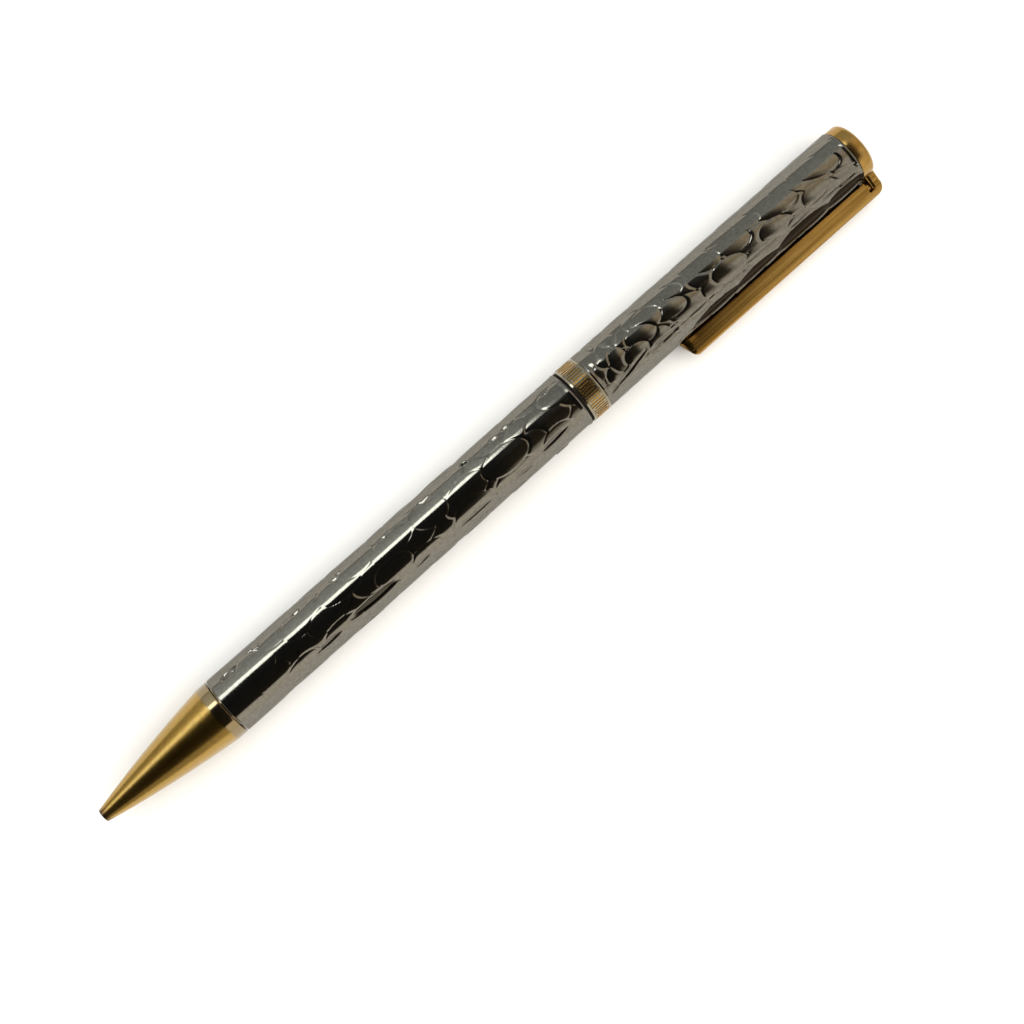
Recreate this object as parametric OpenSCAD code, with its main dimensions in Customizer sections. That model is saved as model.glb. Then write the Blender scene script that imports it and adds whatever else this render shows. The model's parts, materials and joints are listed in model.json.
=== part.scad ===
// Slim twist-action ball pen with a metal barrel.
// Every part is drawn on the pen's own axis: Z runs from the nose to the end cap and the clip lies
// towards +X. in_frame() then lays the pen down along X, resting on its barrel and its clip.

/* [Overall] */
// Length with the refill drawn in, nose to end cap
pen_length = 139; // [138.4:0.1:140]
// Outside diameter of both halves of the barrel
barrel_d = 8.8; // [8.8:0.1:9.4]
// Wall of each decorative barrel tube
barrel_wall = 0.45; // [0.4:0.05:0.45]
// Length of the nose cone in front of the barrel
cone_length = 22; // [21:0.5:24]
// Diameter of the nose cone's front end
nose_d = 2; // [1.9:0.1:2.4]
// Distance from the nose to the turning joint between the two halves
joint_at = 85.2; // [84:0.2:86]
// Width of the centre band
band_width = 3.1; // [2.6:0.1:3.6]

/* [Refill and twist action] */
// How far the refill moves between drawn in and ready to write
travel = 3.3; // [2.8:0.1:3.3]
// Turn of the upper half that moves the refill that far, in degrees
twist = 180; // [150:10:190]
// How far the ball sits behind the nose when drawn in
recess = 0.7; // [0.6:0.1:0.9]
// Diameter of the writing ball
ball_d = 0.7; // [0.5:0.1:0.7]

/* [Clip] */
// Distance from the nose to the free end of the clip
clip_from = 101.9; // [98.4:0.5:108.4]
// Width of the clip across its outer bar
clip_width = 3.2; // [3:0.1:3.6]
// Distance from the pen's axis to the outside of the clip
clip_out = 7.45; // [7.1:0.05:7.5]
// Thickness of the clip's outer bar
clip_bar = 1.4; // [1.2:0.1:1.5]

/* [Hidden] */
$fn = 96;
eps = 0.01;
barrel_r = barrel_d / 2;
tube_r = barrel_r - barrel_wall; // inside of the decorative tubes, outside of their liners
seam = 0.12;                     // narrow shadow gap where two outside parts meet

// Nested diameters of the action, from the axis outwards, with running clearance between moving pairs
run = 0.05;
refill_r = 1.5;
refill_bore_r = 1.2;
plug_r = 2;
carriage_r = 2.4;
guide_in_r = carriage_r + run;
guide_r = guide_in_r + 0.4;
cam_in_r = guide_r + run;
cam_r = cam_in_r + 0.4;
grip_r = cam_r + 0.16;
liner_r = grip_r + 0.04;

// Stations along the axis
tip_z = recess;                       // front of the ball, drawn in
spigot_end = cone_length + 6.5;       // rear of the nose cone's pressed spigot
washer_from = joint_at + 0.02;
washer_t = 0.28;
turn_z = joint_at + 0.4;              // front face of everything that turns
band_end = turn_z + band_width;
cam_end = turn_z + 25;
guide_end = cam_end + 1.4;
peg_z = 100;                          // driving peg, drawn in
carriage_from = peg_z - 6;
carriage_to = guide_end - 1;
thread_from = 104;                    // refill head inside the carriage
refill_end = guide_end + 4.5;
cap_z = pen_length - 2.4;             // rear end of the upper barrel
plug_from = cap_z - 7.6;

// Nose cone and refill tip
nose_r = nose_d / 2;
nose_bore_r = 0.62;
needle_r = 0.55;
cone_land = 1.5;                      // parallel band at the foot of the cone
cone_sag = 0.28;                      // how far the cone bows out from a straight taper
spigot_r = liner_r - 0.05;

// Peg and slots
peg_r = 0.42;
slot_r = 0.5;
slot_step = 7.5;

// Clip
clip_half = clip_width / 2;
clip_edge = 0.65;                     // rounding of the bar's two outer edges
bar_in = clip_out - clip_bar;
flange_half = clip_half - 0.25;       // the flanges are set in a little from the bar
flange_t = 0.4;
flange_r = barrel_r + 0.2;            // inner edges of the flanges
toe_r = 1.2;                          // rounding of the free end
toe_back = clip_from + 2.6;           // where the solid toe becomes an open channel
flange_end = cap_z - 1.5;             // where the flanges stop, just before the clip's flexing line
flex_z = cap_z - 1;
flex_gap = 0.04;                      // half the parting line between the clip's arm and its head
ring_t = 0.6;
ring_r = 3.3;
neck_z = cap_z + 1.1;                 // underside of the clip's neck, where it enters the end cap
head_top = pen_length;
head_bend = 1.1;
neck_half = clip_half - 0.2;
stud_r = 1.25;
stud_end = pen_length - 0.4;
end_cap_r = barrel_r - 0.15;
end_cap_round = 0.7;

// Attitude at rest: the barrel and the clip's lower edge both touch the table
edge_at = clip_out - clip_edge;
edge_apart = clip_half - clip_edge;
clip_tilt = asin((barrel_r - clip_edge) / norm([edge_at, edge_apart])) - atan2(edge_apart, edge_at);
clip_reach = edge_at * cos(clip_tilt) + edge_apart * sin(clip_tilt) + clip_edge;
side_shift = (clip_reach - barrel_r) / 2;

module in_frame() {
    translate([-pen_length / 2, side_shift, barrel_r])
        rotate([clip_tilt - 90, 0, 0])
            rotate([0, 90, 0])
                children();
}

// Points of an arc, for a turned outline
function arc(x, y, r, from, to, steps = 8) =
    [for (i = [0 : steps]) let (a = from + (to - from) * i / steps) [x + r * cos(a), y + r * sin(a)]];

// Points of a shallow bow from p to q, standing out by sag at its middle
function bow(p, q, sag, steps = 12) =
    [for (i = [0 : steps]) let (t = i / steps) p + t * (q - p) + 4 * sag * t * (1 - t) * [1, 0]];

module tube(inner, outer, from, to) {
    translate([0, 0, from])
        difference() {
            cylinder(r = outer, h = to - from);
            translate([0, 0, -1]) cylinder(r = inner, h = to - from + 2);
        }
}

module rod(radius, from, to) {
    translate([0, 0, from]) cylinder(r = radius, h = to - from);
}

module turned(outline) {
    rotate_extrude() polygon(outline);
}

// A round bar standing out along +X, turned by angle about the pen's axis
module radial_bar(radius, from, to, z, angle = 0) {
    rotate([0, 0, angle]) translate([from, 0, z]) rotate([0, 90, 0]) cylinder(r = radius, h = to - from);
}

// ---- Lower half ----

module nose_cone() {
    color("gold")
        turned(concat(
            [[nose_bore_r, 0], [nose_r - 0.15, 0]],
            bow([nose_r, 0.15], [barrel_r, cone_length - cone_land], cone_sag), [
            [barrel_r, cone_length], [spigot_r - 0.15, cone_length], [spigot_r - 0.15, cone_length + 0.6],
            [spigot_r, cone_length + 0.8], [spigot_r, spigot_end - 0.3], [spigot_r - 0.3, spigot_end],
            [2.6, spigot_end], [1.8, 9], [1.7, 8.2], [1.35, 6], [nose_bore_r, 1.7]]
        ));
}

module lower_barrel() {
    color("silver") tube(tube_r, barrel_r, cone_length + seam, joint_at);
}

module lower_liner() {
    color("goldenrod") tube(liner_r, tube_r, cone_length + seam, joint_at - 0.4);
}

module mechanism_bush() {
    color("goldenrod") {
        tube(guide_r, liner_r, joint_at - 13, joint_at - 0.4);
        tube(guide_r, tube_r, joint_at - 0.4, joint_at);
    }
}

module guide_tube() {
    color("lightgrey")
        difference() {
            tube(guide_in_r, guide_r, joint_at - 15, guide_end);
            translate([0, -slot_r, peg_z - travel]) cube([guide_r + 1, 2 * slot_r, travel]);
            radial_bar(slot_r, 0, guide_r + 1, peg_z);
            radial_bar(slot_r, 0, guide_r + 1, peg_z - travel);
        }
}

module bearing_washer() {
    color("black") tube(guide_r, barrel_r - 0.15, washer_from, washer_from + washer_t);
}

module retaining_ring() {
    color("dimgray") tube(guide_r, cam_r + 0.05, cam_end + 0.15, guide_end - 0.3);
}

// ---- Turning part of the action ----

module cam_tube() {
    color("goldenrod")
        difference() {
            tube(cam_in_r, cam_r, turn_z, cam_end);
            for (a = [0 : slot_step : twist])
                radial_bar(slot_r, 0, cam_r + 1, peg_z - travel * a / twist, a);
        }
}

module grip_sleeve() {
    slit = 0.8;
    color("ivory")
        difference() {
            tube(cam_r, grip_r, turn_z + 4.4, cam_end - 1.6);
            for (a = [45 : 90 : 315])
                rotate([0, 0, a])
                    translate([0, -slit / 2, turn_z + 12]) cube([grip_r + 1, slit, 20]);
        }
}

// ---- Sliding part of the action and the refill ----

module carriage() {
    color("goldenrod")
        difference() {
            tube(refill_r + 0.06, carriage_r, carriage_from, carriage_to);
            rod(plug_r, thread_from, carriage_to + 1);
            radial_bar(peg_r, 1, carriage_r + 1, peg_z);
        }
}

module carriage_peg() {
    color("lightgrey")
        intersection() {
            radial_bar(peg_r, 1, cam_r - 0.1, peg_z);
            tube(refill_r + 0.1, cam_r, peg_z - 1, peg_z + 1);
        }
}

module refill_tip() {
    seat_z = tip_z + ball_d / 2;
    color("silver")
        difference() {
            turned([
                [0, tip_z + 0.2], [0.42, tip_z + 0.2], [needle_r, tip_z + 0.9], [needle_r, tip_z + 4.6],
                [1.2, tip_z + 8.6], [refill_r, tip_z + 10], [refill_r, tip_z + 10.4],
                [refill_bore_r, tip_z + 10.4], [refill_bore_r, tip_z + 13], [0, tip_z + 13]
            ]);
            translate([0, 0, seat_z]) sphere(r = ball_d / 2 + 0.01);
            rod(0.16, seat_z, tip_z + 3.5);
            rod(0.3, tip_z + 3.4, tip_z + 9);
            rod(0.8, tip_z + 8.9, tip_z + 14);
        }
}

module writing_ball() {
    color("dimgray") translate([0, 0, tip_z + ball_d / 2]) sphere(r = ball_d / 2);
}

module refill_tube() {
    color("lightgrey") tube(refill_bore_r, refill_r, tip_z + 10.4, thread_from);
}

module ink_column() {
    color("navy") rod(refill_bore_r - 0.01, tip_z + 13, 78);
}

module ink_follower() {
    color("lightyellow") rod(refill_bore_r - 0.01, 78, 82);
}

module refill_head() {
    collar_end = carriage_to + 0.6;
    color("dimgray")
        difference() {
            union() {
                rod(refill_bore_r, thread_from - 5, thread_from + 1);
                rod(plug_r, thread_from, collar_end - 0.6);
                rod(plug_r + 0.3, collar_end - 0.55, collar_end);
                rod(plug_r - 0.1, collar_end - 0.6, collar_end - 0.5);
                rod(plug_r - 0.5, collar_end - eps, refill_end);
            }
            translate([-3, -0.3, refill_end - 1.2]) cube([6, 0.6, 2]);
        }
}

// ---- Upper half ----

module centre_band() {
    groove = 0.12;
    color("silver")
        difference() {
            union() {
                tube(liner_r, barrel_r, turn_z, band_end);
                tube(liner_r, tube_r, band_end - eps, band_end + 2.2);
            }
            tube(barrel_r - groove, barrel_r + 1, turn_z + 0.6, band_end - 0.6);
        }
}

module band_inlay() {
    color("gold") tube(barrel_r - 0.12, barrel_r - 0.03, turn_z + 0.6, band_end - 0.6);
}

module upper_barrel() {
    color("silver") tube(tube_r, barrel_r, band_end + 0.04, cap_z);
}

module upper_liner() {
    color("goldenrod") tube(liner_r, tube_r, band_end + 2.2, plug_from + 3.6);
}

module end_plug() {
    color("goldenrod")
        difference() {
            union() {
                rod(liner_r, plug_from, cap_z - 1);
                rod(tube_r, plug_from + 3.6, cap_z);
                rod(ring_r, cap_z - eps, neck_z);
            }
            rod(stud_r, plug_from - 1, neck_z + 1);
        }
}

// Cross-section of the clip's outer bar, seen along the pen: radius along X
module bar_outline() {
    translate([bar_in, -clip_half]) square([clip_bar - clip_edge, clip_width]);
    translate([bar_in, -edge_apart]) square([clip_bar, 2 * edge_apart]);
    for (side = [-1, 1])
        translate([edge_at, side * edge_apart]) circle(r = clip_edge);
}

module clip_outline() {
    bar_outline();
    translate([flange_r, -flange_half]) square([bar_in - flange_r + eps, 2 * flange_half]);
}

// An outline drawn as radius along X and distance along the pen as Y, given a width
module side_profile(half_width) {
    translate([0, half_width, 0]) rotate([90, 0, 0]) linear_extrude(2 * half_width) children();
}

module clip_head() {
    color("gold") {
        difference() {
            union() {
                rod(ring_r, neck_z, neck_z + ring_t);
                side_profile(neck_half)
                    polygon(concat(
                        [[2.6, neck_z], [clip_out - 0.3, neck_z]],
                        arc(clip_out - 0.3 - head_bend, head_top - head_bend, head_bend, 0, 90),
                        [[2.6, head_top]]
                    ));
            }
            rod(stud_r, neck_z - 1, neck_z + ring_t + 1);
        }
        intersection() {
            translate([0, 0, flex_z + flex_gap]) linear_extrude(head_top - flex_z) bar_outline();
            side_profile(clip_half)
                polygon(concat(
                    [[bar_in, flex_z], [clip_out, flex_z]],
                    arc(clip_out - head_bend, head_top - head_bend, head_bend, 0, 90),
                    [[bar_in, head_top]]
                ));
        }
    }
}

module clip_arm() {
    slant = 0.6;
    color("gold")
        difference() {
            intersection() {
                translate([0, 0, clip_from]) linear_extrude(flex_z - flex_gap - clip_from) clip_outline();
                side_profile(clip_half)
                    polygon(concat(
                        [[flange_r, flange_end], [flange_r, toe_back], [barrel_r + 0.1, clip_from + 1.2],
                            [barrel_r + 0.1, clip_from + 0.2], [barrel_r + 0.3, clip_from]],
                        arc(clip_out - toe_r, clip_from + slant + toe_r, toe_r, -80, 0),
                        [[clip_out, flex_z], [bar_in, flex_z], [bar_in, flange_end]]
                    ));
            }
            translate([0, flange_t - flange_half, toe_back])
                cube([bar_in, 2 * (flange_half - flange_t), flange_end - toe_back + 1]);
        }
}

module end_cap() {
    color("gold")
        difference() {
            turned(concat(
                [[0, cap_z + seam], [end_cap_r - 0.1, cap_z + seam], [end_cap_r, cap_z + seam + 0.1]],
                arc(end_cap_r - end_cap_round, pen_length - end_cap_round, end_cap_round, 0, 90),
                [[0, pen_length]]
            ));
            rod(ring_r + 0.05, cap_z - 1, neck_z + ring_t);
            rod(stud_r, cap_z - 1, stud_end);
            translate([2.55, -neck_half - 0.05, cap_z - 1])
                cube([5, 2 * neck_half + 0.1, head_top - cap_z + 1.02]);
        }
}

module end_cap_stud() {
    color("dimgray") rod(stud_r, plug_from + 1, stud_end);
}

in_frame() nose_cone();
in_frame() lower_barrel();
in_frame() lower_liner();
in_frame() mechanism_bush();
in_frame() guide_tube();
in_frame() bearing_washer();
in_frame() retaining_ring();
in_frame() cam_tube();
in_frame() grip_sleeve();
in_frame() carriage();
in_frame() carriage_peg();
in_frame() refill_tip();
in_frame() writing_ball();
in_frame() refill_tube();
in_frame() ink_column();
in_frame() ink_follower();
in_frame() refill_head();
in_frame() centre_band();
in_frame() band_inlay();
in_frame() upper_barrel();
in_frame() upper_liner();
in_frame() end_plug();
in_frame() clip_head();
in_frame() clip_arm();
in_frame() end_cap();
in_frame() end_cap_stud();
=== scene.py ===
"""Looks for the slim twist-action ball pen: hammered silver barrels, gold cone, clip and end cap.

Every piece is drawn in the pen's own millimetres, as (towards the clip, across, along from the nose),
and then laid in the shared frame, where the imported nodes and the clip's joint say how the pen lies.
Stations are millimetres from the nose."""

import json
import math

import bmesh
import bpy
import numpy as np
from mathutils import Euler, Matrix, Vector


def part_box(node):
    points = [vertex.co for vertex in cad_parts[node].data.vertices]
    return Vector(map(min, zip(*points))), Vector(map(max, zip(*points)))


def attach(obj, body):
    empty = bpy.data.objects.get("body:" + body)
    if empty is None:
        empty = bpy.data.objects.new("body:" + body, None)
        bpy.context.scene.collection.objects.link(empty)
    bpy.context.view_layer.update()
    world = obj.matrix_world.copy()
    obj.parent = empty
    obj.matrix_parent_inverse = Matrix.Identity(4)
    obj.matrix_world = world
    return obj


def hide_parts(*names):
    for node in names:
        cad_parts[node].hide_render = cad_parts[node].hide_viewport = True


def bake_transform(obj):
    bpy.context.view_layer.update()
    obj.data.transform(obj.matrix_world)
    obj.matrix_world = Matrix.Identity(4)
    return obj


MM = 0.001
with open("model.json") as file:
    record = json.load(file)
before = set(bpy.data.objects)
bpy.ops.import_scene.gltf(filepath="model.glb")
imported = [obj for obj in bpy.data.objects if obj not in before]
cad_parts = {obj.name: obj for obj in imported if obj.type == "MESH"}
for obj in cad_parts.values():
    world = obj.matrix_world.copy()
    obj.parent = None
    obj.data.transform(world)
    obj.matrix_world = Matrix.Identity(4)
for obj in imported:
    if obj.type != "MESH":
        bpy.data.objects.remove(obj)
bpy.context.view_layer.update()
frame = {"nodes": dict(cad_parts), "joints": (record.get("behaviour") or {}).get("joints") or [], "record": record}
nodes = frame["nodes"]
joints = {joint["name"]: joint for joint in frame["joints"]}


# ---- The pen's own frame ----


def pen_matrix():
    """From the pen's millimetres to the shared frame's metres."""
    along = Vector((1, 0, 0))
    to_clip = along.cross(Vector(joints["clip_flex"]["axis"])).normalized()
    across = along.cross(to_clip)
    low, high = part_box("lower_barrel")
    middle = (low + high) / 2
    nose = Vector((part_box("nose_cone")[0].x, middle.y, middle.z))
    turn = Matrix((to_clip, across, along)).transposed()
    return Matrix.Translation(nose) @ turn.to_4x4() @ Matrix.Scale(MM, 4)


PEN = pen_matrix()
TOP = math.atan2(PEN[2][1], PEN[2][0])  # angle, in the pen's section, of the side that faces up


def along_pen(node):
    """Where a node starts and ends, in millimetres from the nose."""
    low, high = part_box(node)
    return tuple((corner.x - PEN.translation.x) / MM for corner in (low, high))


def radius_of(node):
    low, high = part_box(node)
    return (high.y - low.y) / 2 / MM


def extent(node):
    """Lowest and highest corner of a node in the pen's millimetres."""
    to_pen = PEN.inverted()
    corners = np.array([to_pen @ vertex.co for vertex in nodes[node].data.vertices])
    return corners.min(0), corners.max(0)


# Radii, stations and the clip's height and half width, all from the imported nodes.
BARREL_R = radius_of("lower_barrel")
CONE_R = radius_of("nose_cone")
TUBE_R = radius_of("lower_liner")
CAP_R = radius_of("end_cap")
LOWER_FROM, LOWER_TO = along_pen("lower_barrel")
BAND_FROM = along_pen("centre_band")[0]
UPPER_FROM, UPPER_TO = along_pen("upper_barrel")
BAND_TO = UPPER_FROM - 0.04  # leaves a hairline seam
CLIP_FROM, CLIP_ARM_TO = along_pen("clip_arm")
CLIP_OUT, CLIP_HALF = extent("clip_arm")[1][:2]
CAP_FROM, PEN_LENGTH = along_pen("end_cap")


# ---- Mesh helpers ----

SAME_POINT = 0.0004 * MM  # points closer than this are one


def piece(name, points, faces, finish, sharp=30):
    """A mesh from pen millimetres, its faces turned outwards."""
    points = np.asarray(points, float)
    mesh = bpy.data.meshes.new(name)
    mesh.from_pydata(points.tolist(), [], [tuple(face) for face in faces])
    mesh.transform(PEN)
    tool = bmesh.new()
    tool.from_mesh(mesh)
    bmesh.ops.remove_doubles(tool, verts=tool.verts, dist=SAME_POINT)
    bmesh.ops.dissolve_degenerate(tool, edges=tool.edges, dist=SAME_POINT)
    bmesh.ops.recalc_face_normals(tool, faces=tool.faces)
    if tool.calc_volume(signed=True) < 0:
        bmesh.ops.reverse_faces(tool, faces=tool.faces)
    tool.to_mesh(mesh)
    tool.free()
    mesh.materials.append(finish)
    obj = bpy.data.objects.new(name, mesh)
    bpy.context.scene.collection.objects.link(obj)
    smooth(obj, sharp)
    return obj


def smooth(obj, sharp):
    obj.data.shade_smooth()
    obj.data.set_sharp_from_angle(angle=math.radians(sharp))


def arc(x, y, r, start, end, steps):
    """Points of an arc, its angles in degrees."""
    angles = np.radians(np.linspace(start, end, steps + 1))
    return [(x + r * math.cos(a), y + r * math.sin(a)) for a in angles]


def loft(sections, closed_ends=True):
    """Vertices and faces of a skin over sections, each the same number of points round a closed outline."""
    sections = np.asarray(sections, float)
    count, around = sections.shape[:2]
    index = np.arange(count * around).reshape(count, around)
    ring = np.roll(index, -1, axis=1)
    faces = np.stack([index[:-1], ring[:-1], ring[1:], index[1:]], axis=-1).reshape(-1, 4).tolist()
    if closed_ends:
        faces += [index[0].tolist(), index[-1, ::-1].tolist()]
    return sections.reshape(-1, 3), faces


def lathe(name, outline, finish, segments=160, sharp=30):
    """A closed outline of (radius, station) turned round the pen's axis."""
    angles = np.linspace(0, 2 * math.pi, segments, endpoint=False)
    outline = np.asarray(outline, float)
    rings = [
        np.column_stack([outline[:, 0] * math.cos(a), outline[:, 0] * math.sin(a), outline[:, 1]])
        for a in angles
    ]
    points, faces = loft(rings + rings[:1], closed_ends=False)
    return piece(name, points, faces, finish, sharp)


def coordinates(obj):
    """The places of a mesh's points in the shared frame, in metres."""
    places = np.zeros(len(obj.data.vertices) * 3, np.float32)
    obj.data.vertices.foreach_get("co", places)
    return places.reshape(-1, 3).astype(float)


def store(obj, name, values):
    """A value from 0 to 1 at each point, for the finishes to read."""
    layer = obj.data.attributes.new(name, "FLOAT", "POINT")
    layer.data.foreach_set("value", np.clip(values, 0, 1).astype(np.float32))


def smoothstep(x):
    x = np.clip(x, 0, 1)
    return x * x * (3 - 2 * x)


def modify(obj, kind, **settings):
    """Adds a modifier and applies it."""
    modifier = obj.modifiers.new(kind.lower(), kind)
    for key, value in settings.items():
        setattr(modifier, key, value)
    evaluated = obj.evaluated_get(bpy.context.evaluated_depsgraph_get())
    mesh = bpy.data.meshes.new_from_object(evaluated)
    obj.modifiers.clear()
    obj.data = mesh


# ---- Finishes ----


class Finish:
    """A metal or plastic, with its smudges, grain and turning marks as nodes."""

    def __init__(self, name, roughness, metallic=1.0, **sockets):
        self.material = bpy.data.materials.new(name)
        self.material.use_nodes = True
        self.tree = self.material.node_tree
        self.shader = self.tree.nodes["Principled BSDF"]
        self.shader.inputs["Metallic"].default_value = metallic
        for socket, value in sockets.items():
            self.shader.inputs[socket.replace("_", " ")].default_value = value
        self.place = self.add("ShaderNodeTexCoord").outputs["Object"]
        self.bumps = None
        self.roughness = roughness

    def add(self, kind, **sockets):
        node = self.tree.nodes.new(kind)
        for socket, value in sockets.items():
            self.set(node.inputs[socket.replace("_", " ")], value)
        return node

    def set(self, socket, value):
        if isinstance(value, bpy.types.NodeSocket):
            self.tree.links.new(value, socket)
        else:
            socket.default_value = value

    def noise(self, size_mm, detail=3.0, stretch=(1, 1, 1)):
        """Noise with features of about this size, drawn out by stretch along each axis."""
        mapping = self.add("ShaderNodeMapping", Vector=self.place)
        mapping.inputs["Scale"].default_value = [1 / (size_mm * MM * k) for k in stretch]
        texture = self.add("ShaderNodeTexNoise", Vector=mapping.outputs[0], Scale=1.0, Detail=detail)
        return texture.outputs["Fac"]

    def spread(self, value, low, high, start=0.3, end=0.7):
        """A value carried from the range start to end onto the range low to high."""
        ramp = self.add(
            "ShaderNodeMapRange", Value=value, From_Min=start, From_Max=end, To_Min=low, To_Max=high)
        return ramp.outputs[0]

    def attribute(self, name):
        """The value that store() left on the mesh."""
        node = self.add("ShaderNodeAttribute")
        node.attribute_name = name
        return node.outputs["Fac"]

    def colours(self, value, first, second):
        """A mix of two colours by a value. The first may be a mix already."""
        mix = self.add("ShaderNodeMix")
        mix.data_type = "RGBA"
        self.set(mix.inputs["Factor"], value)
        self.set(mix.inputs["A"], first if isinstance(first, bpy.types.NodeSocket) else (*first, 1))
        self.set(mix.inputs["B"], (*second, 1))
        return mix.outputs["Result"]

    def bump(self, height, depth_mm):
        node = self.add("ShaderNodeBump", Height=height, Strength=1.0, Distance=depth_mm * MM)
        if self.bumps:
            self.set(node.inputs["Normal"], self.bumps)
        self.bumps = node.outputs[0]

    def done(self, colour):
        self.set(self.shader.inputs["Base Color"], colour)
        self.set(self.shader.inputs["Roughness"], self.roughness)
        if self.bumps:
            self.set(self.shader.inputs["Normal"], self.bumps)
        return self.material


BARE_ROUGHNESS = 0.08


def worn_metal(
        name, clean, tarnish_and_shade, polish, rub, grain=0.0, rings=0.0, brushed=None, painted_darkening=False,
        bare=None, **sockets):
    """Plated or bare metal. polish and rub are its roughness where clean and where handled.

    grain and rings are how deep its grain and its turning marks are, in millimetres. brushed is the
    colour of fine streaks that run along the pen, where the attribute "brushed" says so. When asked,
    it is darkened towards its darker colour where a stored attribute says so: painted shade in the
    barrels' hollows and along the clip, and a darker nose tip. bare is the colour under the
    plating, which shows, and is smooth, where the attribute "worn" says so."""
    metal = Finish(name, polish, **sockets)
    patches = metal.noise(6, 4)
    specks = metal.noise(0.5, 5)
    metal.roughness = metal.spread(patches, polish, rub)
    colour = metal.colours(metal.spread(specks, 0, 0.25), clean, tarnish_and_shade)
    if brushed:
        streaks = metal.noise(0.35, 3, stretch=(60, 1, 1))
        share = metal.spread(streaks, 0, metal.attribute("brushed"), 0.4, 0.65)
        colour = metal.colours(share, colour, brushed)
        metal.bump(streaks, 0.004)
    if painted_darkening:
        # Painted shade on the barrels, and a darker nose tip, where the stored attribute says so.
        colour = metal.colours(metal.attribute("darkening_share"), colour, tarnish_and_shade)
    if bare:
        worn = metal.attribute("worn")
        colour = metal.colours(worn, colour, bare)
        metal.roughness = metal.spread(worn, metal.roughness, BARE_ROUGHNESS, 0, 1)
    if grain:
        metal.bump(metal.noise(0.25, 4), grain)
    if rings:
        metal.bump(metal.noise(0.09, 3, stretch=(1, 60, 60)), rings)
    return metal.done(colour)


def plastic(name, colour, shade, roughness, **sockets):
    """Moulded plastic, or a filling, in two shades of one colour."""
    moulded = Finish(name, roughness, metallic=0.0, **sockets)
    moulded.roughness = moulded.spread(moulded.noise(1.5), roughness * 0.85, roughness * 1.15)
    moulded.bump(moulded.noise(0.2), 0.01)
    return moulded.done(moulded.colours(moulded.spread(moulded.noise(3), 0, 1), colour, shade))


FINISHES = {
    # Its darker colour serves for random tarnish specks and for the painted shade in its hollows.
    "hammered_silver": worn_metal(
        "hammered_silver", (0.195, 0.182, 0.157), (0.014, 0.009, 0.005), 0.07, 0.11,
        grain=0.002, painted_darkening=True, Specular_Tint=(0.65, 0.64, 0.62, 1)),
    "polished_silver": worn_metal(
        "polished_silver", (0.27, 0.24, 0.175), (0.2, 0.16, 0.1), 0.08, 0.16, grain=0.002, rings=0.001),
    # Its darker colour serves for random specks and for the darker nose tip.
    "gold_satin": worn_metal(
        "gold_satin", (0.4, 0.245, 0.05), (0.12, 0.075, 0.03), 0.2, 0.26, grain=0.001, rings=0.003,
        painted_darkening=True, bare=(0.22, 0.17, 0.1), Coat_Weight=0.3, Coat_Roughness=0.12),
    "gold_polished": worn_metal(
        "gold_polished", (0.35, 0.21, 0.062), (0.23, 0.12, 0.032), 0.12, 0.2, grain=0.001, rings=0.001),
    "gold_brushed": worn_metal(
        "gold_brushed", (0.4, 0.245, 0.07), (0.23, 0.12, 0.032), 0.13, 0.2, grain=0.001,
        brushed=(0.2, 0.105, 0.022)),
    "brass": worn_metal("brass", (0.7, 0.46, 0.18), (0.34, 0.2, 0.07), 0.2, 0.32, rings=0.004),
    "steel": worn_metal("steel", (0.42, 0.42, 0.43), (0.22, 0.21, 0.2), 0.2, 0.3, rings=0.004),
    "carbide": worn_metal("carbide", (0.2, 0.2, 0.21), (0.1, 0.1, 0.1), 0.1, 0.2, grain=0.001),
    "refill_metal": worn_metal(
        "refill_metal", (0.6, 0.58, 0.54), (0.36, 0.32, 0.26), 0.16, 0.26, rings=0.002),
    "black_plastic": plastic(
        "black_plastic", (0.007, 0.006, 0.005), (0.014, 0.012, 0.01), 0.7, Specular_IOR_Level=0.05),
    "grip_plastic": plastic("grip_plastic", (0.7, 0.66, 0.56), (0.58, 0.53, 0.43), 0.4),
    "ink": plastic("ink", (0.005, 0.01, 0.09), (0.01, 0.02, 0.16), 0.2),
    "follower_grease": plastic("follower_grease", (0.75, 0.66, 0.38), (0.6, 0.5, 0.25), 0.3),
}


def finish_nodes():
    """Gives every CAD node the finish of its slot in the record."""
    for part in frame["record"]["subparts"]:
        obj = nodes[part["node"]]
        obj.data.materials.clear()
        obj.data.materials.append(FINISHES[part["material_slot"]])


# ---- Hammered barrels ----


def mark(
        s, turned, long, wide, level, edge, dome=0.0, groove=0.0, turn=0.0, lean=0.0, roll=0.0, painted_shade=0.0):
    """A hammer mark: its place, half its length and width, and its face, all in millimetres.

    turned is the angle from the top, in degrees, away from the clip. edge is how wide the step
    round the mark is, dome how far its middle stands out, groove how deep its outline is cut.
    turn is how far its outline is turned, in radians. lean and roll are how steeply its face slopes
    along and round the pen. The last is how much shade is painted on its face, from 0 to 1."""
    return {
        "s": s, "a": math.radians(turned) * BARREL_R, "long": long, "wide": wide, "level": level,
        "edge": edge, "dome": dome, "groove": groove, "turn": turn, "lean": lean, "roll": roll,
        "painted_shade": painted_shade,
    }


def from_middle(hit, ds, da):
    """How far from a mark's middle each place is, as a share of the way to its outline."""
    c, n = math.cos(hit["turn"]), math.sin(hit["turn"])
    return np.hypot((ds * c + da * n) / hit["long"], (da * c - ds * n) / hit["wide"])


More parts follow.
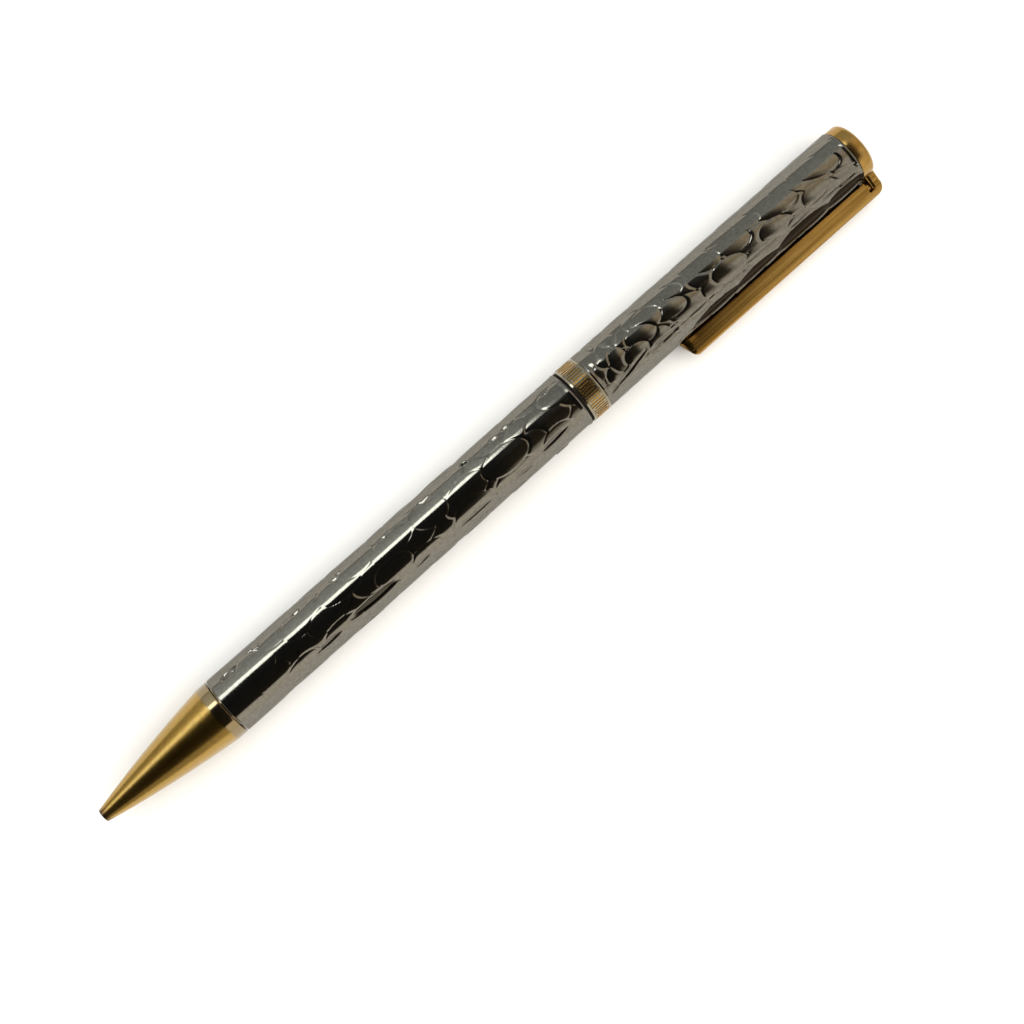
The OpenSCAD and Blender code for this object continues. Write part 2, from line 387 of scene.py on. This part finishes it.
def lay_mark(height, s, a, turn_mm, hit):
    """One hammer mark laid over the earlier ones, with a steep step round its edge."""
    past_outline = 0.6
    rows = np.abs(s - hit["s"]) < hit["long"] + past_outline
    ds = (s[rows] - hit["s"])[:, None]
    da = ((a - hit["a"] + turn_mm / 2) % turn_mm - turn_mm / 2)[None, :]
    rho = from_middle(hit, ds, da)
    inside = (1 - rho) * hit["wide"]
    face = hit["level"] + hit["lean"] * ds + hit["roll"] * da + hit["dome"] * (1 - rho * rho)
    cover = smoothstep(inside / hit["edge"] + 0.5)
    groove = hit["groove"] * np.exp(-((inside / hit["edge"]) ** 2))
    height[rows] = height[rows] * (1 - cover) + face * cover - groove


GRID = 0.12  # how far the points of a hammered surface lie apart
CREST = 0.02  # how far a mark may stand above the barrel's radius
LEAST_WALL = 0.07


def hammered(name, start, end, marks, strength, nicks):
    """A closed barrel tube whose outside carries the hammer marks.

    strength(s, turned) scales the marks by the station and by the angle from the top, in degrees,
    towards the side away from the clip. nicks are cut last, at full depth into what is there."""
    turn_mm = 2 * math.pi * BARREL_R
    around = int(round(turn_mm / GRID))
    s = np.linspace(start, end, int(round((end - start) / GRID)) + 1)
    a = np.arange(around) * turn_mm / around
    height = np.zeros((len(s), around))
    for hit in marks:
        lay_mark(height, s, a, turn_mm, hit)
    height -= np.percentile(height, 99)  # so that nearly all of it lies below the radius
    height = np.minimum(height, CREST)
    height *= strength(s[:, None], np.degrees(a / BARREL_R)[None, :])
    for nick in nicks:
        here = height[np.abs(s - nick["s"]).argmin(), int(nick["a"] / turn_mm * around) % around]
        lay_mark(height, s, a, turn_mm, {**nick, "level": here + nick["level"]})
    height = np.clip(height, LEAST_WALL + TUBE_R - BARREL_R, CREST)
    from_end = np.minimum(s - start, end - s)[:, None]
    plain_end, rounded_end, rounding = 0.8, 0.12, 0.06
    height *= smoothstep(from_end / plain_end)
    shape = height - rounding * np.clip(1 - from_end / rounded_end, 0, 1) ** 2
    angles = TOP - a / BARREL_R
    radius = BARREL_R + shape
    outer = np.stack([radius * np.cos(angles), radius * np.sin(angles), np.repeat(s[:, None], around, 1)], -1)
    inner = np.stack([TUBE_R * np.cos(angles), TUBE_R * np.sin(angles), np.full(around, start)], -1)
    back = inner + np.array([0, 0, end - start])
    sections = np.concatenate([inner[None], outer, back[None], inner[None]])
    points, faces = loft(sections, closed_ends=False)
    obj = piece(name, points, faces, FINISHES["hammered_silver"], sharp=60)
    # Painted shade in the deep hollows and beside the clip.
    paint_barrel_shade(obj, nicks)
    return obj


def paint_barrel_shade(obj, nicks):
    """Stores how much shade is painted on each point: more the deeper it lies, and on the nicks that ask for it.
    """
    to_pen = np.array(PEN.inverted())
    x, y, s = (coordinates(obj) @ to_pen[:3, :3].T + to_pen[:3, 3]).T
    around = TOP - np.arctan2(y, x)
    most, starts, grows_over, painted_shade_edge = 0.75, 0.18, 0.14, 0.2
    # Painted shade, growing with the depth of the hollow.
    shade_share = most * smoothstep((BARREL_R - np.hypot(x, y) - starts) / grows_over)
    # Painted shade where a nick asks for it: the clip's shadow and its reflection in the barrel.
    for nick in nicks:
        turned = (around - nick["a"] / BARREL_R + math.pi) % (2 * math.pi) - math.pi
        inside = (1 - from_middle(nick, s - nick["s"], turned * BARREL_R)) * nick["wide"]
        shade_share = np.maximum(shade_share, nick["painted_shade"] * smoothstep(inside / painted_shade_edge + 0.5))
    store(obj, "darkening_share", shade_share)


def scales(rng, start, end, around, pitch, long, wide, dome, groove, slant=0.0):
    """Overlapping oval scales in staggered rows.

    pitch, long and dome are functions of how far their change along the tube has got, from 0 to 1.
    slant is how far the scales end up turned, in radians."""
    change_over = 20
    marks = []
    s = start
    row = 0
    while s < end:
        share = smoothstep((s - start) / change_over)
        for k in range(around):
            place = k + 0.5 * (row % 2) + rng.uniform(-0.16, 0.16)
            marks.append(mark(
                s + rng.uniform(-0.3, 0.3) * pitch(share),
                place * 360 / around,
                long(share) * rng.uniform(0.85, 1.2),
                wide * rng.uniform(0.85, 1.2),
                level=rng.uniform(-0.03, 0.0),
                edge=rng.uniform(0.09, 0.13),
                dome=dome(share) * rng.uniform(0.6, 1.2),
                groove=groove * rng.uniform(0.4, 1.2),
                turn=slant * share + rng.uniform(-0.22, 0.22),
                lean=rng.uniform(-0.01, 0.01),
                roll=rng.uniform(-0.025, 0.025),
            ))
        s += pitch(share)
        row += 1
    rng.shuffle(marks)
    return marks


def lower_marks():
    """Long shallow scales, all of one size."""
    return scales(
        np.random.default_rng(11), LOWER_FROM + 3, LOWER_TO + 3, 8,
        lambda share: 3.9, lambda share: 3.4, 1.9, lambda share: 0.035, 0.032)


def lower_strength(s, turned):
    """Smooth near the cone, and nearly so along the bright line on the side away from the clip."""
    line = smoothstep((turned - 4) / 10) * (1 - smoothstep((turned - 27) / 12))
    started = smoothstep((s - LOWER_FROM - 1) / 11)
    side = smoothstep((np.minimum(turned, 360 - turned) - 55) / 20)
    return started * (1 - 0.6 * line + 0.9 * side)


def sunk(s, turned, long, wide, depth, turn=0.0, painted_shade=0.0):
    """A long hollow whose far wall mirrors the dark ceiling, with painted shade on its face where asked."""
    return mark(s, turned, long, wide, -depth, min(wide, 0.32), turn=turn, painted_shade=painted_shade)


def glint(rng, s, turned):
    """A tiny flat facet, tipped up to mirror the bright strip of the room."""
    facing = 18  # half the strip's angle from straight up, in degrees
    return mark(
        s, turned, rng.uniform(0.4, 0.75), rng.uniform(0.18, 0.28), -0.12, 0.07,
        turn=rng.uniform(-0.6, 0.2), roll=math.tan(math.radians(turned - facing)))


def lower_nicks():
    """One knock just behind the cone, hollows on the clip's side and glints on the other."""
    rng = np.random.default_rng(3)
    marks = [
        mark(LOWER_FROM + 3.3, 44, 1.3, 0.5, -0.18, 0.18, lean=0.06, roll=0.1),
        mark(LOWER_FROM + 3.8, 43, 0.5, 0.14, -0.1, 0.06, turn=-0.5, roll=0.6),
        sunk(LOWER_FROM + 16, -40, 2.1, 0.26, 0.18, 0.04),
        sunk(LOWER_FROM + 24.5, -36, 3.9, 0.5, 0.27, -0.03),
        sunk(LOWER_FROM + 32.5, -44, 1.7, 0.22, 0.12, 0.1),
        sunk(LOWER_FROM + 42.5, -43, 3.2, 0.24, 0.14),
        sunk(LOWER_FROM + 51.5, -47, 1.6, 0.24, 0.15, -0.1),
        sunk(LOWER_FROM + 57, -37, 2.3, 0.28, 0.18, 0.08),
    ]
    between_groups = 7.3
    for s in np.arange(LOWER_FROM + 8, LOWER_TO - 2, between_groups):
        for _ in range(rng.integers(1, 3)):
            marks.append(glint(rng, s + rng.uniform(-1.6, 1.6), rng.uniform(42, 55)))
    return marks


def upper_marks():
    """Plumper scales that grow from the band to the end cap."""
    return scales(
        np.random.default_rng(5), UPPER_FROM + 0.8, UPPER_TO + 3, 9,
        lambda share: 1.8 + 2.2 * share, lambda share: 1.4 + 2.0 * share, 1.6,
        lambda share: 0.14 - 0.04 * share, 0.045, slant=-0.4)


def upper_strength(s, turned):
    """Calmer on the side away from the clip, and boldest beside the clip."""
    line = smoothstep((turned - 8) / 10) * (1 - smoothstep((turned - 34) / 14))
    away = smoothstep((turned - 34) / 14) * (1 - smoothstep((turned - 120) / 25))
    beside = smoothstep((360 - turned - 15) / 20) * (1 - smoothstep((360 - turned - 110) / 30))
    by_clip = 0.35 + 0.9 * smoothstep((s - CLIP_FROM + 5) / 9)
    return (1 - 0.5 * line - 0.45 * away) * (1 - beside + beside * by_clip)


def upper_nicks():
    """A bright facet behind the band, fine creases, and hollows beside the clip with painted shade."""
    return [
        mark(UPPER_FROM + 0.75, 23, 0.6, 0.45, -0.03, 0.08, lean=0.07, roll=0.09),
        sunk(UPPER_FROM + 4, -36, 3.6, 0.24, 0.16, 0.22),
        sunk(UPPER_FROM + 11.5, -33, 2.7, 0.35, 0.2),
        sunk(UPPER_FROM + 17.5, -33, 3.4, 0.16, 0.12, 0.02),
        sunk(UPPER_FROM + 24, -36, 3.0, 0.15, 0.12, -0.03),
        sunk(UPPER_FROM + 29.5, -31, 3.6, 0.17, 0.13, -0.03),
        sunk(UPPER_FROM + 36, -35, 3.2, 0.16, 0.12, 0.03),
        sunk(UPPER_FROM + 40, -28, 2.6, 0.15, 0.12, 0.02),
        sunk(UPPER_FROM + 43.5, -40, 3.2, 0.17, 0.13, -0.02),
        # Hollows along the clip, with the clip's shadow and its reflection painted on their faces.
        sunk(UPPER_FROM + 20.5, -66, 4.4, 1.15, 0.25, -0.02, painted_shade=1),
        sunk(UPPER_FROM + 28, -65, 4.3, 1.25, 0.25, 0.02, painted_shade=1),
        sunk(UPPER_FROM + 36.5, -63, 5.0, 1.6, 0.25, painted_shade=1),
        sunk(UPPER_FROM + 45, -65, 4.4, 1.3, 0.25, -0.02, painted_shade=1),
    ]


# ---- Turned parts ----


def nose_cone():
    """The cone, slightly bowed, with a worn land, its bore and the spigot that holds it."""
    land = 1.5  # the parallel stretch behind the taper
    sag = 0.28
    lip = 0.15
    nose_r = 1.0
    hole_r, spigot_r, spigot = 0.62, 3.45, 6.5
    taper = np.linspace(0, 1, 60)
    length = LOWER_FROM - 0.12  # leaves a thin seam
    rim = length - 0.05
    side = [
        (nose_r + t * (CONE_R - nose_r) + 4 * sag * t * (1 - t), lip + t * (length - land - lip))
        for t in taper
    ]
    outline = (
        [(hole_r, 0.06), (hole_r + 0.06, 0)]
        + arc(nose_r - lip, lip, lip, -90, 0, 5)[:-1]
        + side
        + arc(CONE_R - 0.05, rim - 0.05, 0.05, 0, 90, 3)
        + [(3.3, rim), (3.3, length + 0.6), (spigot_r, length + 0.8), (spigot_r, length + spigot - 0.3)]
        + [(spigot_r - 0.3, length + spigot), (2.6, length + spigot)]
        + [(1.8, 9), (1.7, 8.2), (1.35, 6), (hole_r, 1.7)]
    )
    cone = lathe("nose_cone_turned", outline, FINISHES["gold_satin"], 192, 35)
    stations = (coordinates(cone)[:, 0] - PEN.translation.x) / MM
    store(cone, "worn", smoothstep((stations - (length - land - 0.35)) / 0.4) * 0.9)
    # Darker towards the tip, over its first 1.3 mm.
    store(cone, "darkening_share", 1 - smoothstep(stations / 1.3))
    return cone


def centre_band():
    """The silver band, with a recess for its gold bars and a sleeve inside the upper barrel."""
    edge, depth, soft = 0.38, 0.07, 0.06
    inner_r, sleeve = 3.5, 2.2
    outline = (
        [(inner_r, BAND_FROM)]
        + arc(BARREL_R - soft, BAND_FROM + soft, soft, -90, 0, 3)
        + [(BARREL_R, BAND_FROM + edge - 0.04), (BARREL_R - 0.04, BAND_FROM + edge)]
        + [(BARREL_R - depth, BAND_FROM + edge + 0.02), (BARREL_R - depth, BAND_TO - edge - 0.02)]
        + [(BARREL_R - 0.04, BAND_TO - edge), (BARREL_R, BAND_TO - edge + 0.04)]
        + arc(BARREL_R - soft, BAND_TO - soft, soft, 0, 90, 3)
        + [(TUBE_R, BAND_TO), (TUBE_R, BAND_TO + sleeve), (inner_r, BAND_TO + sleeve)]
    )
    return lathe("centre_band_turned", outline, FINISHES["polished_silver"], 192, 35)


def band_bars():
    """Gold bars set in the band's recess, in place of any lettering."""
    count = 60
    bar = 0.25 / 2  # half its width
    low, high = BAND_FROM + 0.44, BAND_TO - 0.44
    floor_r, top_r, soft = BARREL_R - 0.13, BARREL_R - 0.01, 0.04
    points, faces = [], []
    for k in range(count):
        middle = 2 * math.pi * k / count
        trim = 0.25 if k % 3 == 1 else 0.0  # every third bar is shorter
        first = len(points)
        for r, inset in ((floor_r, 0), (top_r - soft, 0), (top_r, soft)):
            for side, s in ((-1, low), (1, low), (1, high), (-1, high)):
                end = inset + trim if s == low else -inset - trim
                angle = middle + side * (bar - inset) / r
                points.append((r * math.cos(angle), r * math.sin(angle), s + end))
        faces.append((first, first + 1, first + 2, first + 3))
        faces.append((first + 11, first + 10, first + 9, first + 8))
        for level in (first, first + 4):
            for i in range(4):
                j = (i + 1) % 4
                faces.append((level + i, level + 4 + i, level + 4 + j, level + j))
    return piece("band_bars", points, faces, FINISHES["gold_polished"], 25)


def end_cap():
    """The gold end cap, with the slot that the clip's neck comes out of."""
    rounding, soft = 0.8, 0.08
    crown = 0.05
    inner_r, end_wall = 2.5, 1.0
    outline = (
        [(inner_r, CAP_FROM)]
        + arc(CAP_R - soft, CAP_FROM + soft, soft, -90, 0, 3)
        + arc(CAP_R - rounding, PEN_LENGTH - crown - rounding, rounding, 0, 88, 14)
        + [(r, PEN_LENGTH - crown * (r / (CAP_R - rounding)) ** 2) for r in (2.6, 1.7, 0.8, 0.02)]
        + [(0.02, PEN_LENGTH - end_wall), (inner_r, PEN_LENGTH - end_wall)]
    )
    cap = lathe("end_cap_turned", outline, FINISHES["gold_polished"], 160, 35)
    slot_half, slot_floor, past_cap = 1.45, 2.62, 6.0
    corners = [
        (x, y, s)
        for x in (slot_floor, past_cap)
        for y in (-slot_half, slot_half)
        for s in (CAP_FROM - 1, PEN_LENGTH + 1)
    ]
    box = [(0, 1, 3, 2), (4, 6, 7, 5), (0, 4, 5, 1), (2, 3, 7, 6), (0, 2, 6, 4), (1, 5, 7, 3)]
    cutter = piece("slot_cutter", corners, box, FINISHES["gold_polished"])
    modify(cap, "BOOLEAN", operation="DIFFERENCE", object=cutter, solver="EXACT")
    bpy.data.objects.remove(cutter)
    modify(cap, "BEVEL", width=0.04 * MM, segments=2, limit_method="ANGLE", angle_limit=math.radians(50))
    smooth(cap, 35)
    return cap


# ---- Clip ----


def clip():
    """The clip in one skin: solid toe, channel arm, flexing line, head and neck."""
    out, half, edge = CLIP_OUT, CLIP_HALF, 0.65
    bar_in = out - 1.4
    flange_half, flange_t, flange_r = 1.44, 0.5, 4.6
    lean = 0.36  # how far the flanges' inner edges are rolled in
    toe_r, slant, toe_round = 1.6, 0.45, 1.3
    toe_angle = math.radians(80)  # how far round its bend the toe's slanting front goes on
    toe_back = CLIP_FROM + 2.6
    neck_from, neck_half, neck_in = PEN_LENGTH - 1.6, 1.4, 2.65
    flange_end = neck_from - 0.6
    leaf_in, leaf_half = bar_in - 0.9, 0.95  # the flexing leaf, seen between the flanges and the neck
    bend, neck_round, soft = 1.8, 0.6, 0.15
    toe_front = CLIP_FROM + slant + toe_r * (1 - math.sin(toe_angle))
    toe_front_x = out - toe_r + toe_r * math.cos(toe_angle)

    def rounded(distance, radius):
        """How far a rounded corner stands back at this distance from its end."""
        return radius - math.sqrt(radius**2 - (radius - min(max(distance, 0), radius)) ** 2)

    def outer(s):
        """Height of the clip's outside above the pen's axis."""
        if s < toe_front:
            return np.interp(s, [CLIP_FROM, toe_front], [BARREL_R + 0.3, toe_front_x])
        return out - rounded(s - CLIP_FROM - slant, toe_r) - rounded(PEN_LENGTH - s, bend)

    def under(s):
        """Height of the flanges' inner edges, or of the neck's inner end."""
        if s >= neck_from:
            return neck_in
        if s > flange_end:
            return leaf_in
        stations = [CLIP_FROM, CLIP_FROM + 0.2, CLIP_FROM + 1.2, toe_back]
        return np.interp(s, stations, [BARREL_R + 0.3, BARREL_R + 0.1, BARREL_R + 0.1, flange_r])

    def wall(s):
        """Half the width below the bar."""
        if s >= neck_from:
            return neck_half - rounded(s - neck_from, neck_round) - rounded(PEN_LENGTH - s, soft)
        return leaf_half if s > flange_end else flange_half

    def section(s):
        """Half the outline at one station, mirrored into a whole one."""
        top, low, side = outer(s), under(s), wall(s)
        hollow = toe_back < s <= flange_end
        roof = bar_in if hollow else low
        width = 1 - 0.6 * rounded(s - CLIP_FROM, toe_round) / toe_round
        bar = half - rounded(PEN_LENGTH - s, 2 * soft)
        points = [(roof, 0.0), (roof, side - flange_t - 0.1), (roof - 0.1, side - flange_t)]
        points += [(low + 0.05, side - flange_t), (low, side - flange_t + 0.04)]
        points += [(low, side - lean - 0.06)]
        for t in np.linspace(0, 1, 10):
            points.append((low + 0.06 + t * (bar_in - low - 0.12), side - lean * (1 - t) ** 1.8))
        for t in np.linspace(0.15, 1, 7):
            points.append((bar_in - 0.06 + 0.3 * t, side + (bar - side) * smoothstep(t)))
        points += arc(out - edge, bar - edge, edge, 90, 0, 8)
        points += [(out, 0.4), (out, 0.0)]
        limited = [(min(max(x, low), top), y * width) for x, y in points]
        mirrored = [(x, -y) for x, y in reversed(limited[1:-1])]
        return [(x, y, s) for x, y in limited + mirrored]

    step = 0.001
    quarter = np.radians(np.linspace(8, 90, 12))
    stations = [CLIP_FROM + t * (toe_front - CLIP_FROM) for t in np.linspace(0, 0.95, 8)]
    stations += list(CLIP_FROM + slant + toe_r * (1 - np.cos(quarter)))
    stations += [toe_back, toe_back + step, flange_end, flange_end + step, neck_from - step]
    stations += list(np.linspace(toe_back + 0.5, flange_end - 0.3, 66))
    stations += list(np.linspace(flange_end + 0.1, neck_from - 0.1, 5))
    stations += list(neck_from + neck_round * (1 - np.cos(quarter))) + [neck_from]
    stations += list(PEN_LENGTH - 2 * soft * (1 - np.sin(quarter[::2])))
    stations += list(PEN_LENGTH - bend * (1 - np.sin(quarter[:-1])))
    points, faces = loft([section(s) for s in sorted(set(stations))])
    obj = piece("clip_sprung", points, faces, FINISHES["gold_brushed"], 35)
    stations = (coordinates(obj)[:, 0] - PEN.translation.x) / MM
    store(obj, "brushed", smoothstep((stations - toe_front) / 1.2) * smoothstep((PEN_LENGTH - stations) / 0.4))
    return obj


# ---- Stage ----


def floor():
    """A plain pale table that fills the photo's view."""
    size = 3.0
    mesh = bpy.data.meshes.new("table")
    low = -0.00002  # just below the pen's lowest point
    mesh.from_pydata(
        [(-size, -size, low), (size, -size, low), (size, size, low), (-size, size, low)], [], [(0, 1, 2, 3)])
    paper = Finish("table_paper", 0.85, metallic=0.0)
    paper.bump(paper.noise(2, 5), 0.02)
    paper.roughness = paper.spread(paper.noise(20), 0.8, 0.9)
    mesh.materials.append(paper.done(
        paper.colours(paper.spread(paper.noise(60), 0, 1), (0.9, 0.89, 0.87), (0.87, 0.86, 0.84))))
    obj = bpy.data.objects.new("table", mesh)
    bpy.context.scene.collection.objects.link(obj)


def table_light():
    """Soft light on the table, which the metal doesn't mirror."""
    light = bpy.data.lights.new("table_light", "AREA")
    light.shape = "RECTANGLE"
    light.size = light.size_y = 3.4
    light.energy = 58
    obj = bpy.data.objects.new("table_light", light)
    bpy.context.scene.collection.objects.link(obj)
    obj.location = (0.1, -0.45, 1.55)
    obj.rotation_euler = (-obj.location).to_track_quat("-Z", "Y").to_euler()
    obj.visible_camera = False
    obj.visible_glossy = False


PALE = (1.0, 0.95, 0.84)
COOL = (0.94, 1.0, 0.99)
WHITE = (0.94, 1.02, 1.2)
BROWN = (1.0, 0.84, 0.6)

# What stands round the pen, as (degrees from straight up, brightness, tint). Degrees grow towards +Y.
# The lists run from the nose's end of the room to the end cap's. In the photo's view the cone mirrors
# the first, most of the lower barrel the second, the middle of the pen the third, and the part along
# the clip the last.
ROOM = [
    [(-180, 0.6, PALE), (-75, 0.5, PALE), (-60, 0.5, PALE), (-56, 0.05, BROWN), (-20, 0.01, BROWN),
     (18, 0.02, BROWN), (26, 0.3, PALE), (34, 2.3, WHITE), (44, 2.6, WHITE), (52, 0.9, PALE),
     (70, 0.5, PALE), (86, 0.45, PALE), (92, 0.6, PALE)],
    [(-180, 1.0, PALE), (-62, 1.5, PALE), (-56, 1.35, PALE), (-53, 0.04, BROWN), (0, 0.028, COOL),
     (27, 0.04, COOL), (30, 6.0, COOL), (39, 7.0, COOL), (43, 1.3, COOL), (60, 1.05, COOL),
     (86, 0.85, COOL), (88, 0.28, BROWN), (91, 0.9, PALE)],
    [(-180, 1.0, PALE), (-62, 1.4, PALE), (-48, 0.8, PALE), (-42, 0.42, BROWN), (-37, 0.08, BROWN),
     (0, 0.05, BROWN), (24, 0.1, COOL), (30, 0.66, COOL), (86, 0.63, COOL), (88, 0.28, BROWN),
     (91, 0.9, PALE)],
    [(-180, 1.0, PALE), (-62, 1.2, PALE), (-45, 1.05, PALE), (-20, 1.25, PALE), (-5, 0.8, BROWN),
     (12, 1.05, BROWN), (28, 1.05, PALE), (34, 0.75, COOL), (86, 0.63, COOL), (88, 0.28, BROWN),
     (91, 0.9, PALE)],
]
FAR_ENDS = [(-180, 0.8, PALE), (180, 0.8, PALE)]
# Shares of +X in the direction, between which one list gives way to the next.
ROOM_EDGES = [(-0.26, -0.2), (0.09, 0.12), (0.22, 0.3)]
FAR_EDGE = (0.6, 0.9)  # the same for both far ends of the room


def sky(tree, angle, stops):
    """A colour ramp over the angle from straight up."""
    ramp = tree.nodes.new("ShaderNodeValToRGB")
    tree.links.new(angle, ramp.inputs[0])
    elements = ramp.color_ramp.elements
    while len(elements) < len(stops):
        elements.new(0.5)
    for element, (degrees, brightness, tint) in zip(elements, stops):
        element.position = (degrees + 180) / 360
        element.color = (*(brightness * channel for channel in tint), 1)
    return ramp.outputs[0]


def give_way(tree, before, after, value, edge):
    """One colour turning into another while value crosses the edge."""
    change = tree.nodes.new("ShaderNodeMapRange")
    change.interpolation_type = "SMOOTHSTEP"
    change.inputs["From Min"].default_value = edge[0]
    change.inputs["From Max"].default_value = edge[1]
    tree.links.new(value, change.inputs["Value"])
    mix = tree.nodes.new("ShaderNodeMix")
    mix.data_type = "RGBA"
    tree.links.new(change.outputs[0], mix.inputs["Factor"])
    tree.links.new(before, mix.inputs["A"])
    tree.links.new(after, mix.inputs["B"])
    return mix.outputs["Result"]


def studio():
    """The room that the metal mirrors, and soft light on the table."""
    world = bpy.data.worlds.new("studio")
    bpy.context.scene.world = world
    world.use_nodes = True
    tree = world.node_tree
    direction = tree.nodes.new("ShaderNodeTexCoord").outputs["Generated"]
    split = tree.nodes.new("ShaderNodeSeparateXYZ")
    tree.links.new(direction, split.inputs[0])
    angle = tree.nodes.new("ShaderNodeMath")
    angle.operation = "ARCTAN2"
    tree.links.new(split.outputs["Y"], angle.inputs[0])
    tree.links.new(split.outputs["Z"], angle.inputs[1])
    share = tree.nodes.new("ShaderNodeMapRange")
    share.inputs["From Min"].default_value = -math.pi
    share.inputs["From Max"].default_value = math.pi
    tree.links.new(angle.outputs[0], share.inputs["Value"])
    far = tree.nodes.new("ShaderNodeMath")
    far.operation = "ABSOLUTE"
    tree.links.new(split.outputs["X"], far.inputs[0])
    shown = sky(tree, share.outputs[0], ROOM[0])
    for edge, stops in zip(ROOM_EDGES, ROOM[1:]):
        shown = give_way(tree, shown, sky(tree, share.outputs[0], stops), split.outputs["X"], edge)
    shown = give_way(tree, shown, sky(tree, share.outputs[0], FAR_ENDS), far.outputs[0], FAR_EDGE)
    tree.links.new(shown, tree.nodes["Background"].inputs["Color"])
    table_light()


def camera():
    """The view from above, and the plain display of colours that goes with it."""
    view = bpy.data.objects.new("camera", bpy.data.cameras.new("camera"))
    bpy.context.scene.collection.objects.link(view)
    view.data.lens = 64.19
    view.data.sensor_width = 36
    view.location = PEN.translation + Vector((48.297, -6.773, 250.709)) * MM
    view.rotation_euler = Euler([math.radians(angle) for angle in (3.191, -3.345, -41.885)])
    view.data.clip_start = 0.01
    bpy.context.scene.camera = view
    bpy.context.scene.view_settings.view_transform = "Standard"


# ---- Assembly ----

finish_nodes()

cone = nose_cone()
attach(cone, "lower")
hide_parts("nose_cone")

lower = hammered(
    "lower_barrel_hammered", LOWER_FROM + 0.05, LOWER_TO, lower_marks(), lower_strength, lower_nicks())
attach(lower, "lower")
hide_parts("lower_barrel")

band = centre_band()
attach(band, "upper")
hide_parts("centre_band")

bars = band_bars()
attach(bars, "upper")
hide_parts("band_inlay")

upper = hammered(
    "upper_barrel_hammered", UPPER_FROM, UPPER_TO, upper_marks(), upper_strength, upper_nicks())
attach(upper, "upper")
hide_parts("upper_barrel")

cap = end_cap()
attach(cap, "upper")
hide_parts("end_cap")

spring_clip = clip()
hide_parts("clip_head", "clip_arm")
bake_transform(spring_clip)

floor()
studio()
camera()
